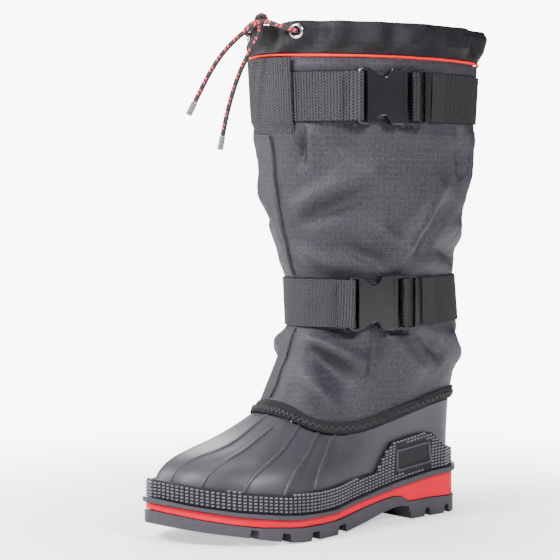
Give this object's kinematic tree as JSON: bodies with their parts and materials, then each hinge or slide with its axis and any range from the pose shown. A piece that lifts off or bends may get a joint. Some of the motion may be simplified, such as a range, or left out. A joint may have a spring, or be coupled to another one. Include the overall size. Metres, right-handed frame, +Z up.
{
  "type": "winter hunting boot",
  "caption": "Left insulated hunting boot: ribbed rubber galosh and sole, tall nylon shaft with buckled straps and a drawcord cuff.",
  "frame": {"origin": "on the floor under the middle of the heel tread", "axes": "+Z up, the toe points to -X, the outer side with the buckles to -Y"},
  "size_m": [0.3341, 0.1699, 0.4202],
  "materials": {
    "galosh_rubber": "satin moulded rubber",
    "tread_rubber": "matte moulded rubber",
    "red_midsole": "satin foam rubber",
    "grey_nylon": "matte padded nylon",
    "binding_tape": "matte woven tape",
    "red_piping": "matte piping",
    "webbing": "herringbone webbing",
    "dark_webbing": "ribbed webbing",
    "buckle_plastic": "satin moulded plastic",
    "tag_leather": "matte leather-like patch",
    "eyelet_metal": "pressed metal ring",
    "cord_braid": "round braid",
    "clear_aglet": "clear plastic",
    "insole_felt": "felt"
  },
  "bodies": {
    "root": {"outsole": "tread_rubber", "midsole_red": "red_midsole", "sole_ledge": "tread_rubber", "insole": "insole_felt", "galosh": "galosh_rubber", "foxing": "galosh_rubber", "shaft": "grey_nylon", "binding": "binding_tape", "piping": "red_piping", "cuff": "grey_nylon", "back_seam_1": "grey_nylon", "back_seam_2": "grey_nylon", "back_seam_3": "grey_nylon", "front_seam_1": "grey_nylon", "front_seam_2": "grey_nylon", "keeper_loop": "webbing", "lower_strap_front": "webbing", "lower_strap_rear": "dark_webbing", "lower_strap_tag": "tag_leather", "lower_buckle_socket": "buckle_plastic", "lower_buckle_frame": "buckle_plastic", "upper_strap_front": "webbing", "upper_strap_rear": "dark_webbing", "upper_strap_tag": "tag_leather", "upper_buckle_socket": "buckle_plastic", "upper_buckle_frame": "buckle_plastic", "eyelet_1": "eyelet_metal", "eyelet_2": "eyelet_metal", "drawcord_run_1": "cord_braid", "drawcord_run_2": "cord_braid", "drawcord_knot": "cord_braid", "drawcord_end_1": "cord_braid", "drawcord_end_2": "cord_braid", "aglet_1": "clear_aglet", "aglet_2": "clear_aglet"}
  },
  "joints": []
}
